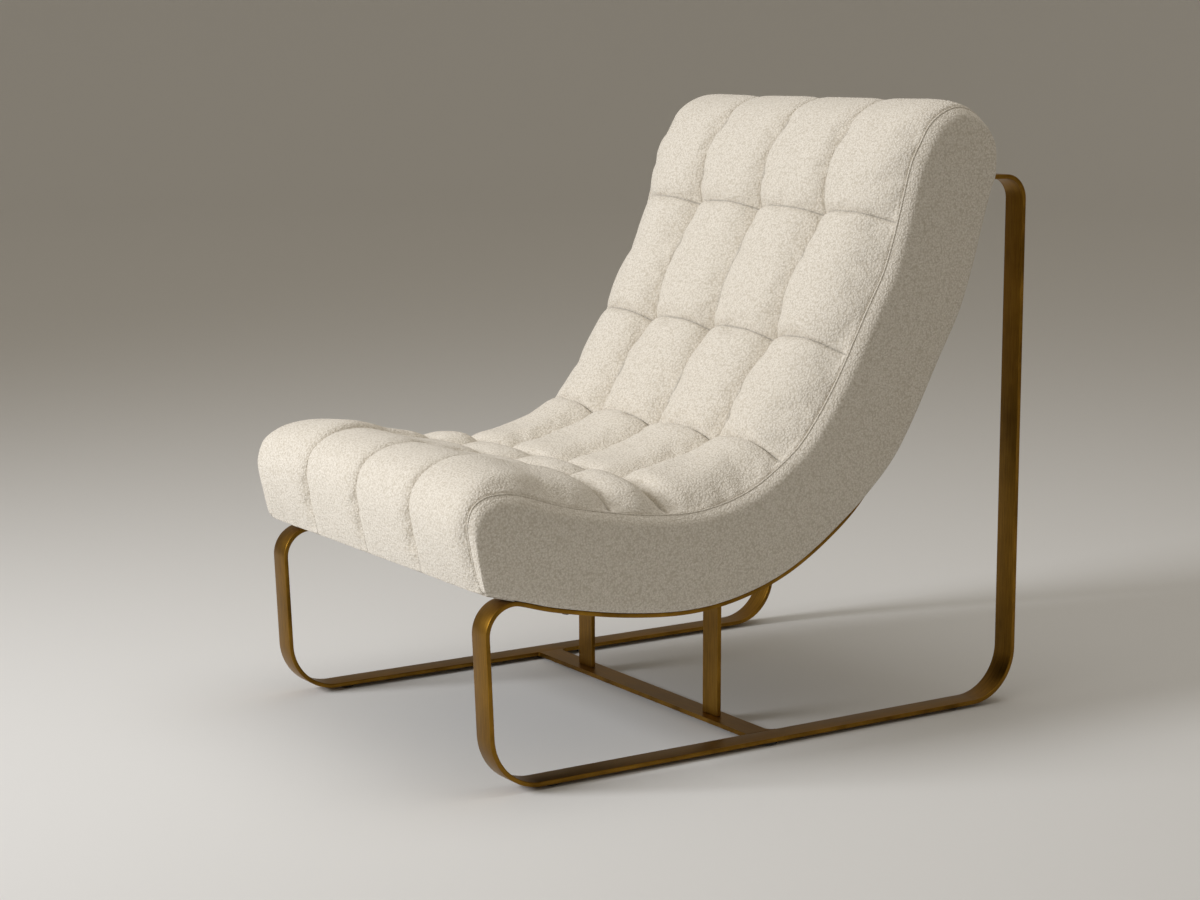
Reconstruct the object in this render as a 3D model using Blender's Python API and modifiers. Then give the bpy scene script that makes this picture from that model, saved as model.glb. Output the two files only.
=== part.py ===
"""Scoop lounge chair: two flat-bar side loops, cross bars, posts and a biscuit-tufted cushion."""
import bpy
import bmesh
import math
from mathutils import Vector

for stale in list(bpy.data.objects):
    bpy.data.objects.remove(stale, do_unlink=True)

# Frame sizes, metres
FRAME_WIDTH = 0.650
FRAME_DEPTH = 0.922
FRAME_HEIGHT = 0.797
FRONT_BEND_HEIGHT = 0.263
BAR_WIDTH = 0.038
BAR_THICKNESS = 0.0065
BAR_EDGE_CHAMFER = 0.0006
LOWER_BEND_RADIUS = 0.079
FRONT_TOP_RADIUS = 0.044
REAR_TOP_RADIUS = 0.0375
TURN_RADIUS = 0.025
FRONT_RISER_LEAN = 0.0055
RUNNER_CLEARANCE = 0.005
WELD_SETBACK = 0.012

# Cross bars and posts
CROSS_BAR_DEPTH = 0.469
CROSS_BAR_WIDTH = 0.039
WELD_FILLET_RADIUS = 0.012
WELD_BEAD_RADIUS = 0.002
POST_OFFSET = 0.172
POST_WIDTH = 0.038
POST_THICKNESS = 0.0068

# Cushion sizes
CUSHION_THICKNESS = 0.136
CUSHION_NOSE = 0.004
SHELL_THICKNESS = 0.012
SHELL_EDGE_INSET = 0.004
FRONT_LIP = 0.014
REAR_COVER_THICKNESS = 0.0078
DUST_COVER_THICKNESS = 0.0015
DUST_COVER_INSET = 0.001
PANEL_THICKNESS = 0.005
PANEL_CROWN = 0.003
WELT_RADIUS = 0.0023
CUSHION_CROWN = 0.020
TUFT_HEIGHT = 0.038
TUFT_FADE = 0.045
PIT_REACH = 0.095

# Glides and bolts
GLIDE_RADIUS = 0.011
GLIDE_STEM_RADIUS = 0.003
GLIDE_STEM_LENGTH = 0.004
GLIDE_CHAMFER = 0.001
GLIDE_END_SETBACK = 0.030
RAIL_BOLT_RADIUS = 0.003
RAIL_BOLT_HEAD_RADIUS = 0.006
RAIL_BOLT_HEAD_HEIGHT = 0.0028
RAIL_BOLT_BITE = 0.009
POST_BOLT_RADIUS = 0.0017
POST_BOLT_HEAD_RADIUS = 0.0045
POST_BOLT_HEAD_HEIGHT = 0.0025
POST_BOLT_BITE = 0.010
BOLT_HEAD_SIDE_SHARE = 0.5
BOLT_HEAD_TOP_SHARE = 0.7

# Fits
GAP = 0.0003
PAD_EASE = 0.0006
HOLE_CLEARANCE = 0.0003
OVERRUN = 0.010
MERGE = 0.00001

# Shares of the frame's depth and height that the sling line passes through
sling_shares = ((0.1236, 0.3077), (0.2408, 0.2823), (0.3525, 0.2723), (0.4501, 0.2861),
                (0.5423, 0.3237), (0.6334, 0.3915), (0.6898, 0.4567), (0.7484, 0.5533),
                (0.8080, 0.6788), (0.8471, 0.7603), (0.8720, 0.8381), (0.8894, 0.9084),
                (0.9046, 0.9686))

# Shares of the cushion's thickness, from its lower front edge and from the shell's top
nose_shares = ((-0.066, 0.217), (-0.125, 0.480), (-0.147, 0.690), (-0.088, 0.857),
               (0.060, 0.945), (0.265, 0.960), (0.470, 0.925))
crest_shares = ((-0.930, 0.180), (-0.810, 0.360), (-0.620, 0.490), (-0.420, 0.540),
                (-0.220, 0.490), (-0.050, 0.350), (0.055, 0.150))

# Where the cross seams lie along the cushion's visible line
seam_row_shares = (0.254, 0.322, 0.469, 0.602, 0.750)

# Shares of the crown and of the tufts' height along the visible line, and of the height lost at the seams
crown_shares = ((0.0, 0.0), (0.05, -0.45), (0.085, -0.40), (0.105, 0.2), (0.125, 0.7), (0.16, 1.0),
                (0.32, 1.0), (0.45, 0.15), (0.70, 0.15), (0.85, 0.0), (1.0, 0.0))
tuft_shares = ((0.0, 0.05), (0.05, 0.35), (0.085, 0.37), (0.12, 0.34), (0.18, 0.30), (0.24, 0.42),
               (0.29, 0.52), (0.34, 0.56), (0.47, 0.90), (0.55, 1.0), (0.70, 1.0), (0.80, 0.75),
               (0.88, 0.30), (0.93, 0.12), (1.0, 0.05))
row_depth_shares = (0.50, 0.78, 0.28, 0.22, 0.20)
column_crease_shares = ((0.0, 1.0), (0.26, 1.0), (0.36, 0.6), (0.46, 0.25), (0.78, 0.25), (0.86, 0.7),
                        (1.0, 0.9))
COLUMNS = 4
SLING_FACETS = 54
EDGE_STATIONS = 50
EDGE_SAMPLES = 600
cell_shares = (0.0, 0.20, 0.50, 0.80)
front_cell_shares = (0.0, 0.12, 0.27, 0.41, 0.50, 0.59, 0.70, 0.80, 0.90, 0.96)
crest_cell_shares = (0.0, 0.10, 0.25, 0.38, 0.50, 0.61, 0.72, 0.83, 0.92, 1.0)
rail_bolt_shares = (0.075, 0.235, 0.390, 0.555)
SHELL_TOP_RISE = 0.054
LIP_DROP = 0.019
PANEL_GROW_RISE = 0.040
COVER_START_RISE = 0.160
PIT_POWERS = (3.0, 2.2)
SEAM_PROFILE = (2.0, 0.90)
MIDDLE_PROFILE = (4.2, 0.52)
EDGE_START_SHARE = 0.25
EDGE_SPANS = 22

# Colours
BRASS = (0.36, 0.215, 0.075, 1.0)
BOUCLE = (0.76, 0.72, 0.63, 1.0)
PLY = (0.55, 0.40, 0.24, 1.0)
BLACK = (0.02, 0.02, 0.02, 1.0)

HALF = FRAME_WIDTH / 2


def share_at(table, where):
    """Reads a table of (place, share) pairs at a place between 0 and 1."""
    for (a, low), (b, high) in zip(table, table[1:]):
        if where <= b:
            return low + (high - low) * (where - a) / (b - a)
    return table[-1][1]


collection = bpy.data.collections.new("scoop_lounge_chair")
bpy.context.scene.collection.children.link(collection)
cutters = bpy.data.collections.new("scoop_lounge_chair_cutters")
bpy.context.scene.collection.children.link(cutters)


def material(name, colour, roughness, metallic):
    made = bpy.data.materials.new(name)
    made.use_nodes = True
    shader = made.node_tree.nodes["Principled BSDF"]
    shader.inputs["Base Color"].default_value = colour
    shader.inputs["Roughness"].default_value = roughness
    shader.inputs["Metallic"].default_value = metallic
    return made


brass = material("brushed_brass", BRASS, 0.34, 1.0)
boucle = material("cream_boucle", BOUCLE, 0.95, 0.0)
plywood = material("bent_plywood", PLY, 0.6, 0.0)
cambric = material("black_cambric", BLACK, 0.9, 0.0)
nylon = material("black_nylon", BLACK, 0.5, 0.0)
steel = material("dark_bolt_steel", BLACK, 0.4, 1.0)


# Lines in the side plane are lists of (depth, height) points from the front riser's face
def smooth(points, steps=8):
    """A Catmull-Rom curve through the points."""
    ends = [2 * points[0] - points[1]] + list(points) + [2 * points[-1] - points[-2]]
    line = []
    for i in range(1, len(ends) - 2):
        a, b, c, d = ends[i - 1:i + 3]
        for k in range(steps):
            t = k / steps
            line.append(0.5 * (2 * b + (c - a) * t + (2 * a - 5 * b + 4 * c - d) * t * t
                               + (3 * b - a - 3 * c + d) * t ** 3))
    line.append(points[-1].copy())
    return line


def arc(centre, radius, start, end, steps):
    """Points on an arc, angles in degrees from +depth towards +height."""
    turn = [math.radians(start + (end - start) * k / steps) for k in range(steps + 1)]
    return [centre + radius * Vector((math.cos(a), math.sin(a))) for a in turn]


def lengths(line):
    total = [0.0]
    for a, b in zip(line, line[1:]):
        total.append(total[-1] + (b - a).length)
    return total


def place(line, distance):
    """The point and unit direction at a distance along a line, run on straight past its ends."""
    total = lengths(line)
    i = 0
    while i < len(line) - 2 and total[i + 1] < distance:
        i += 1
    way = (line[i + 1] - line[i]).normalized()
    return line[i] + way * (distance - total[i]), way


def heading(line, distance):
    """The direction at a distance along a line, evened out over a short stretch."""
    return (place(line, distance + BAR_THICKNESS)[0] - place(line, distance - BAR_THICKNESS)[0]).normalized()


def beside(line, distance, rise):
    """The point at a distance along a line and a rise to its upper or forward side."""
    point = place(line, distance)[0]
    way = heading(line, distance)
    return point + Vector((-way.y, way.x)) * rise


def stops(start, end):
    """Distances along the sling, at one pitch for all the pieces that lie on it, and both ends."""
    pitch = sling_total[-1] / SLING_FACETS
    inner = [k * pitch for k in range(SLING_FACETS + 1)]
    return [start] + [d for d in inner if start + GAP < d < end - GAP] + [end]


def stretch(start, end, rise=0.0):
    return [beside(sling, d, rise) for d in stops(start, end)]


def world(x, point):
    return Vector((x, point.x - SHIFT, point.y))


# The sling line is the top face of the rails, from the cushion's lower front edge to the shell's top
bend_centre = Vector((FRONT_TOP_RADIUS, FRONT_BEND_HEIGHT - FRONT_TOP_RADIUS))
first = Vector((sling_shares[0][0] * FRAME_DEPTH, sling_shares[0][1] * FRAME_HEIGHT))
slope = math.degrees(math.atan2(bend_centre.y - first.y, first.x - bend_centre.x))
reach = (first - bend_centre).length
leave = math.degrees(math.acos(FRONT_TOP_RADIUS / reach)) - slope
leave_way = Vector((math.cos(math.radians(leave)), math.sin(math.radians(leave))))
rail_front = bend_centre + FRONT_TOP_RADIUS * leave_way
lead = (rail_front - first).normalized()
nose = rail_front + lead * ((rail_front.x + CUSHION_NOSE) / -lead.x)
shared = [Vector((a * FRAME_DEPTH, b * FRAME_HEIGHT)) for a, b in sling_shares]
climb = (shared[-1] - shared[-2]).normalized()
shell_top = shared[-1] + climb * SHELL_TOP_RISE
sling = smooth([nose, rail_front] + shared + [shell_top])
sling_total = lengths(sling)
RAIL_START = (rail_front - nose).length

# The turn at the rear top is where the sling meets the rear riser's bend
turn_height = FRAME_HEIGHT - TURN_RADIUS
RAIL_END = max(d for d, p in zip(sling_total, sling) if p.y < turn_height)
up = heading(sling, RAIL_END)
turn_start = math.degrees(math.atan2(up.x, -up.y))
while beside(sling, RAIL_END, 0.0).y < turn_height + TURN_RADIUS * math.sin(math.radians(turn_start)):
    RAIL_END += GAP
rail_top = beside(sling, RAIL_END, 0.0)
turn_way = Vector((math.cos(math.radians(turn_start)), math.sin(math.radians(turn_start))))
turn_centre = rail_top - TURN_RADIUS * turn_way


def loop_line():
    """The side frame's outer face from the sling's top round the floor to the sling's front."""
    rear = FRAME_DEPTH
    low = RUNNER_CLEARANCE
    line = arc(turn_centre, TURN_RADIUS, turn_start, 90, 8)
    line += arc(Vector((rear - REAR_TOP_RADIUS, FRAME_HEIGHT - REAR_TOP_RADIUS)), REAR_TOP_RADIUS, 90, 0, 8)
    line += arc(Vector((rear - LOWER_BEND_RADIUS, low + LOWER_BEND_RADIUS)), LOWER_BEND_RADIUS, 0, -90, 10)
    fall = bend_centre.y - low - LOWER_BEND_RADIUS
    lean = math.atan(FRONT_RISER_LEAN / fall)
    face = bend_centre - FRONT_TOP_RADIUS * Vector((math.cos(lean), math.sin(lean)))
    foot_height = low + LOWER_BEND_RADIUS
    foot = face.x + (LOWER_BEND_RADIUS + math.sin(lean) * (face.y - foot_height)) / math.cos(lean)
    line += arc(Vector((foot, foot_height)), LOWER_BEND_RADIUS, -90, math.degrees(lean) - 180, 10)
    line += arc(bend_centre, FRONT_TOP_RADIUS, 180 + math.degrees(lean), leave, 9)
    return [place(sling, RAIL_END - WELD_SETBACK)[0]] + line + [place(sling, RAIL_START + WELD_SETBACK)[0]]


SHELL_END = sling_total[-1]
LIP_END = SHELL_END - LIP_DROP
COVER_RISE = -(BAR_THICKNESS + 2 * GAP)


# The cushion's visible line, from its lower front edge over the seat and back to the rear lip
def edge_line():
    start = [nose] + [nose + Vector(s) * CUSHION_THICKNESS for s in nose_shares]
    first_at = RAIL_START + (first - rail_front).length * EDGE_START_SHARE
    pitch = (RAIL_END - first_at) / EDGE_SPANS
    middle = [beside(sling, first_at + pitch * k, CUSHION_THICKNESS) for k in range(EDGE_SPANS + 1)]
    crest = [shell_top + Vector(s) * CUSHION_THICKNESS for s in crest_shares]
    tail = [beside(sling, LIP_END, COVER_RISE - REAR_COVER_THICKNESS)]
    return smooth(start + middle + crest + tail, 4)


def edge_stops(line, start, end):
    """Distances along a line that lie closer where it bends."""
    fine = [start + (end - start) * k / EDGE_SAMPLES for k in range(EDGE_SAMPLES + 1)]
    effort = [0.0]
    for a, b in zip(fine, fine[1:]):
        turn = heading(line, a).angle(heading(line, b), 0.0)
        effort.append(effort[-1] + (b - a) + turn * CUSHION_THICKNESS)
    found = []
    for k in range(EDGE_STATIONS + 1):
        goal = effort[-1] * k / EDGE_STATIONS
        i = min(range(len(effort)), key=lambda j: abs(effort[j] - goal))
        found.append(fine[i])
    return found


visible = edge_line()
visible_length = lengths(visible)[-1]
welt_drop = 2 * WELT_RADIUS + GAP
edge_places = edge_stops(visible, welt_drop, visible_length - welt_drop)


def stations():
    """Distances along the visible line, with one on every cross seam."""
    rows = (0.0,) + seam_row_shares + (1.0,)
    found = []
    for cell in range(len(rows) - 1):
        shares = cell_shares
        if cell == 0:
            shares = front_cell_shares
        if cell == len(rows) - 2:
            shares = crest_cell_shares
        for share in shares:
            found.append((rows[cell] + (rows[cell + 1] - rows[cell]) * share) * visible_length)
    return found


def relief(at, c):
    """The tufts' height share: pits where the seams cross, creases between them, nothing at the rims."""
    away = [abs(at - row * visible_length) for row in seam_row_shares]
    along = max(0.0, 1 - min(away) / PIT_REACH)
    across = abs(2 * (c % 1) - 1)
    pit = across ** PIT_POWERS[0] * along ** PIT_POWERS[1]
    crease = share_at(column_crease_shares, at / visible_length) if c % 1 == 0 else 0.0
    fades = [max(0.0, 1 - gone / TUFT_FADE) ** 1.5 for gone in away]
    sunk = max(depth * fade for depth, fade in zip(row_depth_shares, fades))
    power, round_share = [b + (a - b) * along ** 2 for a, b in zip(SEAM_PROFILE, MIDDLE_PROFILE)]
    rim = max(0.0, 1 - 2 * min(c, COLUMNS - c))
    return (1 - pit) * (1 - crease) * (1 - sunk) * (1 - rim ** power) ** round_share


def pad_point(at, c):
    """The pad's surface over the side plane, at a station and a place across the columns."""
    way = heading(visible, at)
    where = at / visible_length
    crown = CUSHION_CROWN * share_at(crown_shares, where)
    level = min(1.0, (1 - abs(2 * c / COLUMNS - 1)) * COLUMNS / 2)
    height = TUFT_HEIGHT * share_at(tuft_shares, where)
    if level < 1:
        height += max(0.0, crown) / 2
    rise = crown * level + height * relief(at, c)
    return place(visible, at)[0] + Vector((-way.y, way.x)) * rise


# The whole stands centred on its own depth
columns = [c + s for c in range(COLUMNS) for s in cell_shares] + [COLUMNS]
NOSE_DEPTH = min(pad_point(at, c).x for at in stations() for c in columns)
SHIFT = (FRAME_DEPTH + NOSE_DEPTH) / 2


# Builders
def finish(obj, skin, sharp=32):
    obj.data.materials.clear()
    obj.data.materials.append(skin)
    obj.data.shade_smooth()
    obj.data.set_sharp_from_angle(angle=math.radians(sharp))
    return obj


def mesh_object(name, bm, home=None):
    mesh = bpy.data.meshes.new(name)
    bm.to_mesh(mesh)
    bm.free()
    obj = bpy.data.objects.new(name, mesh)
    (home or collection).objects.link(obj)
    return obj


def flat_bar(name, line, x):
    """A flat bar whose outer face follows a line, bent the easy way."""
    bm = bmesh.new()
    left = [bm.verts.new(world(x - BAR_WIDTH / 2, p)) for p in line]
    right = [bm.verts.new(world(x + BAR_WIDTH / 2, p)) for p in line]
    for i in range(len(line) - 1):
        bm.faces.new((left[i], right[i], right[i + 1], left[i + 1]))
    obj = mesh_object(name, bm)
    shell = obj.modifiers.new("thickness", "SOLIDIFY")
    shell.thickness = BAR_THICKNESS
    shell.offset = -1
    shell.use_even_offset = True
    edge = obj.modifiers.new("edges", "BEVEL")
    edge.width = BAR_EDGE_CHAMFER
    edge.segments = 1
    edge.limit_method = "ANGLE"
    edge.angle_limit = math.radians(60)
    return finish(obj, brass)


def loft(name, rings, skin, sharp=32):
    """A closed body through rings of points; each ring pairs its first half with its second."""
    bm = bmesh.new()
    rows = [[bm.verts.new(p) for p in ring] for ring in rings]
    count = len(rings[0])
    for a, b in zip(rows, rows[1:]):
        for i in range(count):
            j = (i + 1) % count
            bm.faces.new((a[i], a[j], b[j], b[i]))
    for row in (rows[0], rows[-1]):
        for i in range(count // 2 - 1):
            bm.faces.new((row[i], row[i + 1], row[count - 2 - i], row[count - 1 - i]))
    bmesh.ops.recalc_face_normals(bm, faces=bm.faces)
    return finish(mesh_object(name, bm), skin, sharp)


def band(name, start, end, upper, lower, half, skin):
    """A sheet that follows the sling line between two rises."""
    rings = []
    for at in stops(start, end):
        top = beside(sling, at, upper)
        base = beside(sling, at, lower)
        rings.append([world(-half, top), world(half, top), world(half, base), world(-half, base)])
    return loft(name, rings, skin)


def turned(name, profile, skin, segments=20, home=None):
    """A turned piece about Z; the profile runs down its outer side from the top."""
    bm = bmesh.new()
    points = [bm.verts.new((r, 0, z)) for r, z in profile]
    for a, b in zip(points, points[1:]):
        bm.edges.new((a, b))
    obj = mesh_object(name, bm, home)
    spin = obj.modifiers.new("turn", "SCREW")
    spin.angle = math.radians(360)
    spin.steps = segments
    spin.render_steps = segments
    spin.use_merge_vertices = True
    spin.merge_threshold = MERGE
    return finish(obj, skin)


def cut(target, cutter):
    cutter.hide_render = True
    cutter.display_type = "WIRE"
    knife = target.modifiers.new("cut_" + cutter.name, "BOOLEAN")
    knife.operation = "DIFFERENCE"
    knife.solver = "EXACT"
    knife.object = cutter


def drill(name, radius, point, way, start, end):
    """A cylinder cutter on a point, from start to end along a direction."""
    bm = bmesh.new()
    bmesh.ops.create_cone(bm, cap_ends=True, segments=20, radius1=radius, radius2=radius, depth=end - start)
    bmesh.ops.translate(bm, verts=bm.verts, vec=(0, 0, (start + end) / 2))
    obj = mesh_object(name, bm, cutters)
    obj.location = point
    obj.rotation_euler = way.to_track_quat("Z", "Y").to_euler()
    return obj


def block(name, low, high, home=None):
    """A box between two corners."""
    bm = bmesh.new()
    bmesh.ops.create_cube(bm, size=1)
    bmesh.ops.scale(bm, verts=bm.verts, vec=high - low)
    obj = mesh_object(name, bm, home)
    obj.location = (low + high) / 2
    return obj


# Side loops and sling rails
rail_x = HALF - BAR_WIDTH / 2
sides = (("left", -1), ("right", 1))
rail_line = stretch(RAIL_START + WELD_SETBACK + GAP, RAIL_END - WELD_SETBACK - GAP)
loops = {}
rails = {}
for side, sign in sides:
    loops[side] = flat_bar(side + "_side_loop", loop_line(), sign * rail_x)
    rails[side] = flat_bar(side + "_sling_rail", rail_line, sign * rail_x)

# Lower cross bar with filleted rear corners at the runners
runner_inner = HALF - BAR_WIDTH
bar_half = runner_inner - GAP
bar_front = CROSS_BAR_DEPTH - CROSS_BAR_WIDTH / 2
bar_rear = CROSS_BAR_DEPTH + CROSS_BAR_WIDTH / 2


def flared_outline():
    """One end's half of the cross bar's outline, front corner to rear corner."""
    front = arc(Vector((bar_half - WELD_BEAD_RADIUS, bar_front - WELD_BEAD_RADIUS)), WELD_BEAD_RADIUS, 90, 0, 3)
    centre = Vector((bar_half - WELD_FILLET_RADIUS, bar_rear + WELD_FILLET_RADIUS))
    rear = arc(centre, WELD_FILLET_RADIUS, 0, -90, 7)
    return front + rear


ends = flared_outline()
outline = ends + [Vector((-p.x, p.y)) for p in reversed(ends)]
curve = bpy.data.curves.new("lower_cross_bar", "CURVE")
curve.dimensions = "2D"
curve.fill_mode = "BOTH"
curve.extrude = BAR_THICKNESS / 2
spline = curve.splines.new("POLY")
spline.points.add(len(outline) - 1)
for node, p in zip(spline.points, outline):
    node.co = (p.x, p.y - CROSS_BAR_DEPTH, 0, 1)
spline.use_cyclic_u = True
drawn = bpy.data.objects.new("lower_cross_bar_outline", curve)
collection.objects.link(drawn)
drawn.location = (0, CROSS_BAR_DEPTH - SHIFT, RUNNER_CLEARANCE + BAR_THICKNESS / 2)
bpy.context.view_layer.update()
flat = bpy.data.meshes.new_from_object(drawn.evaluated_get(bpy.context.evaluated_depsgraph_get()))
bm = bmesh.new()
bm.from_mesh(flat)
bmesh.ops.remove_doubles(bm, verts=bm.verts, dist=MERGE)
cross_bar = mesh_object("lower_cross_bar", bm)
cross_bar.matrix_world = drawn.matrix_world
bpy.data.objects.remove(drawn, do_unlink=True)
finish(cross_bar, brass)

# Seat cross bar between the rails, laid to their slope, and the posts below it
cross_at = min(sling_total, key=lambda d: abs(place(sling, d)[0].x - CROSS_BAR_DEPTH))
while place(sling, cross_at)[0].x > CROSS_BAR_DEPTH:
    cross_at -= GAP
seat_bar_top = -(DUST_COVER_THICKNESS + GAP)
seat_bar_base = seat_bar_top - BAR_THICKNESS
seat_start = cross_at - CROSS_BAR_WIDTH / 2
ramp = heading(sling, cross_at)
seat_point = place(sling, cross_at)[0]
across = Vector((-ramp.y, ramp.x))
corners = []
for along, rise in ((-1, seat_bar_top), (-1, seat_bar_base), (1, seat_bar_base), (1, seat_bar_top)):
    corners.append(seat_point + ramp * (along * CROSS_BAR_WIDTH / 2) + across * rise)
rings = [[world(x, p) for p in corners] for x in (-bar_half, bar_half)]
loft("seat_cross_bar", rings, brass)


def underside(depth):
    """The height of the seat cross bar's lower face over a depth."""
    low = seat_point + across * seat_bar_base
    return low.y + (depth - low.x) * ramp.y / ramp.x


post_base = RUNNER_CLEARANCE + BAR_THICKNESS + GAP
posts = {}
for side, sign in sides:
    rings = []
    for x in (sign * POST_OFFSET - POST_WIDTH / 2, sign * POST_OFFSET + POST_WIDTH / 2):
        near = CROSS_BAR_DEPTH - POST_THICKNESS / 2
        far = CROSS_BAR_DEPTH + POST_THICKNESS / 2
        corners = (Vector((near, post_base)), Vector((far, post_base)),
                   Vector((far, underside(far) - GAP)), Vector((near, underside(near) - GAP)))
        rings.append([world(x, p) for p in corners])
    posts[side] = loft(side + "_post", rings, brass)
    edge = posts[side].modifiers.new("edges", "BEVEL")
    edge.width = BAR_EDGE_CHAMFER
    edge.segments = 1
    edge.limit_method = "ANGLE"
    edge.angle_limit = math.radians(60)

# Post bolts from under the cross bar
bolt_seat = RUNNER_CLEARANCE - GAP
for side, sign in sides:
    spot = Vector((sign * POST_OFFSET, CROSS_BAR_DEPTH - SHIFT, 0))
    rise = bolt_seat + BAR_THICKNESS + POST_BOLT_BITE
    profile = ((0, rise), (POST_BOLT_RADIUS, rise), (POST_BOLT_RADIUS, bolt_seat),
               (POST_BOLT_HEAD_RADIUS, bolt_seat),
               (POST_BOLT_HEAD_RADIUS, bolt_seat - POST_BOLT_HEAD_HEIGHT * BOLT_HEAD_SIDE_SHARE),
               (POST_BOLT_HEAD_RADIUS * BOLT_HEAD_TOP_SHARE, bolt_seat - POST_BOLT_HEAD_HEIGHT),
               (0, bolt_seat - POST_BOLT_HEAD_HEIGHT))
    bolt = turned(side + "_post_bolt", profile, steel, 16)
    bolt.location = spot
    hole = drill(side + "_post_bolt_hole", POST_BOLT_RADIUS + HOLE_CLEARANCE, spot, Vector((0, 0, 1)),
                 -OVERRUN, rise + HOLE_CLEARANCE)
    cut(cross_bar, hole)
    cut(posts[side], hole)

# Glides with stems in blind holes under the runners
glide_places = (("front", LOWER_BEND_RADIUS + GLIDE_END_SETBACK), ("middle", CROSS_BAR_DEPTH),
                ("rear", FRAME_DEPTH - LOWER_BEND_RADIUS - GLIDE_END_SETBACK))
glide_top = RUNNER_CLEARANCE - GAP
for side, sign in sides:
    for where, depth in glide_places:
        spot = Vector((sign * rail_x, depth - SHIFT, 0))
        stem = glide_top + GLIDE_STEM_LENGTH
        profile = ((0, stem), (GLIDE_STEM_RADIUS, stem), (GLIDE_STEM_RADIUS, glide_top),
                   (GLIDE_RADIUS, glide_top), (GLIDE_RADIUS, GLIDE_CHAMFER),
                   (GLIDE_RADIUS - GLIDE_CHAMFER, 0), (0, 0))
        glide = turned(side + "_" + where + "_glide", profile, nylon, 24)
        glide.location = spot
        hole = drill(side + "_" + where + "_glide_hole", GLIDE_STEM_RADIUS + HOLE_CLEARANCE, spot,
                     Vector((0, 0, 1)), -OVERRUN, stem + HOLE_CLEARANCE)
        cut(loops[side], hole)

# Bent plywood shell on the rails
SHELL_START = FRONT_LIP
shell = band("seat_shell", SHELL_START, SHELL_END, GAP + SHELL_THICKNESS, GAP, HALF - SHELL_EDGE_INSET, plywood)

# Rail bolts from under the rails into the shell
for side, sign in sides:
    for number, share in enumerate(rail_bolt_shares, 1):
        at = RAIL_START + (RAIL_END - RAIL_START) * share
        point = place(sling, at)[0]
        way = heading(sling, at)
        spot = world(sign * rail_x, point)
        axis = Vector((0, -way.y, way.x))
        seat = -BAR_THICKNESS - GAP
        tip = GAP + RAIL_BOLT_BITE
        profile = ((0, tip), (RAIL_BOLT_RADIUS, tip), (RAIL_BOLT_RADIUS, seat), (RAIL_BOLT_HEAD_RADIUS, seat),
                   (RAIL_BOLT_HEAD_RADIUS, seat - RAIL_BOLT_HEAD_HEIGHT * BOLT_HEAD_SIDE_SHARE),
                   (RAIL_BOLT_HEAD_RADIUS * BOLT_HEAD_TOP_SHARE, seat - RAIL_BOLT_HEAD_HEIGHT),
                   (0, seat - RAIL_BOLT_HEAD_HEIGHT))
        bolt = turned(side + "_rail_bolt_" + str(number), profile, steel, 18)
        bolt.location = spot
        bolt.rotation_euler = axis.to_track_quat("Z", "Y").to_euler()
        hole = drill(side + "_rail_bolt_hole_" + str(number), RAIL_BOLT_RADIUS + HOLE_CLEARANCE, spot, axis,
                     seat - OVERRUN, tip + HOLE_CLEARANCE)
        cut(rails[side], hole)
        cut(shell, hole)

# Outside back cover behind the rails, notched where the loops come through
cover_at = [d for d, p in zip(sling_total, sling) if p.y > FRONT_BEND_HEIGHT + COVER_START_RISE][0]
back_cover = band("outside_back_cover", cover_at, LIP_END - GAP, COVER_RISE, COVER_RISE - REAR_COVER_THICKNESS,
                  HALF - GAP, boucle)
notch_base = turn_centre.y
for side, sign in sides:
    inner = runner_inner - HOLE_CLEARANCE * 2
    x_low, x_high = sorted((sign * inner, sign * (HALF + OVERRUN)))
    low = Vector((x_low, turn_centre.x - TURN_RADIUS - OVERRUN - SHIFT, notch_base))
    high = Vector((x_high, FRAME_DEPTH - SHIFT, FRAME_HEIGHT + HOLE_CLEARANCE))
    notch = block(side + "_cover_notch", low, high, cutters)
    cut(back_cover, notch)

# Dust cover under the shell between the rails
band("dust_cover", RAIL_START, cover_at, 0.0, -DUST_COVER_THICKNESS, runner_inner - DUST_COVER_INSET, cambric)


def lower_line():
    """The pad's hidden face: the front lip, the shell's top face and the rear lip."""
    over = SHELL_THICKNESS + 2 * GAP + PAD_EASE
    line = [beside(sling, FRONT_LIP - GAP, GAP), beside(sling, FRONT_LIP - GAP, over)]
    line += stretch(FRONT_LIP + SHELL_THICKNESS, SHELL_END + GAP, over)
    line += [beside(sling, SHELL_END + GAP, 0.0), beside(sling, LIP_END, 0.0)]
    return line


hidden = lower_line()


def partner(at, pairs):
    """The matching distance on a lower line, read between pairs of matched distances."""
    i = 0
    while i < len(pairs) - 2 and pairs[i + 1][0] < at:
        i += 1
    (a_seen, a_low), (b_seen, b_low) = pairs[i], pairs[i + 1]
    return a_low + (b_low - a_low) * (at - a_seen) / (b_seen - a_seen)


def nearest(line, point):
    """The distance along a line to its corner nearest a point."""
    i = min(range(len(line)), key=lambda k: (line[k] - point).length)
    return lengths(line)[i]


def matched(line, inset):
    """Pairs the visible line with a lower line at both ends, behind the nose and below the crest."""
    pairs = [(inset, inset)]
    for at in (RAIL_START + CUSHION_THICKNESS / 2, RAIL_END - CUSHION_THICKNESS / 2):
        seen = nearest(visible, beside(sling, at, CUSHION_THICKNESS))
        pairs.append((seen, nearest(line, beside(sling, at, 0.0))))
    return pairs + [(visible_length - inset, lengths(line)[-1] - inset)]


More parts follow.
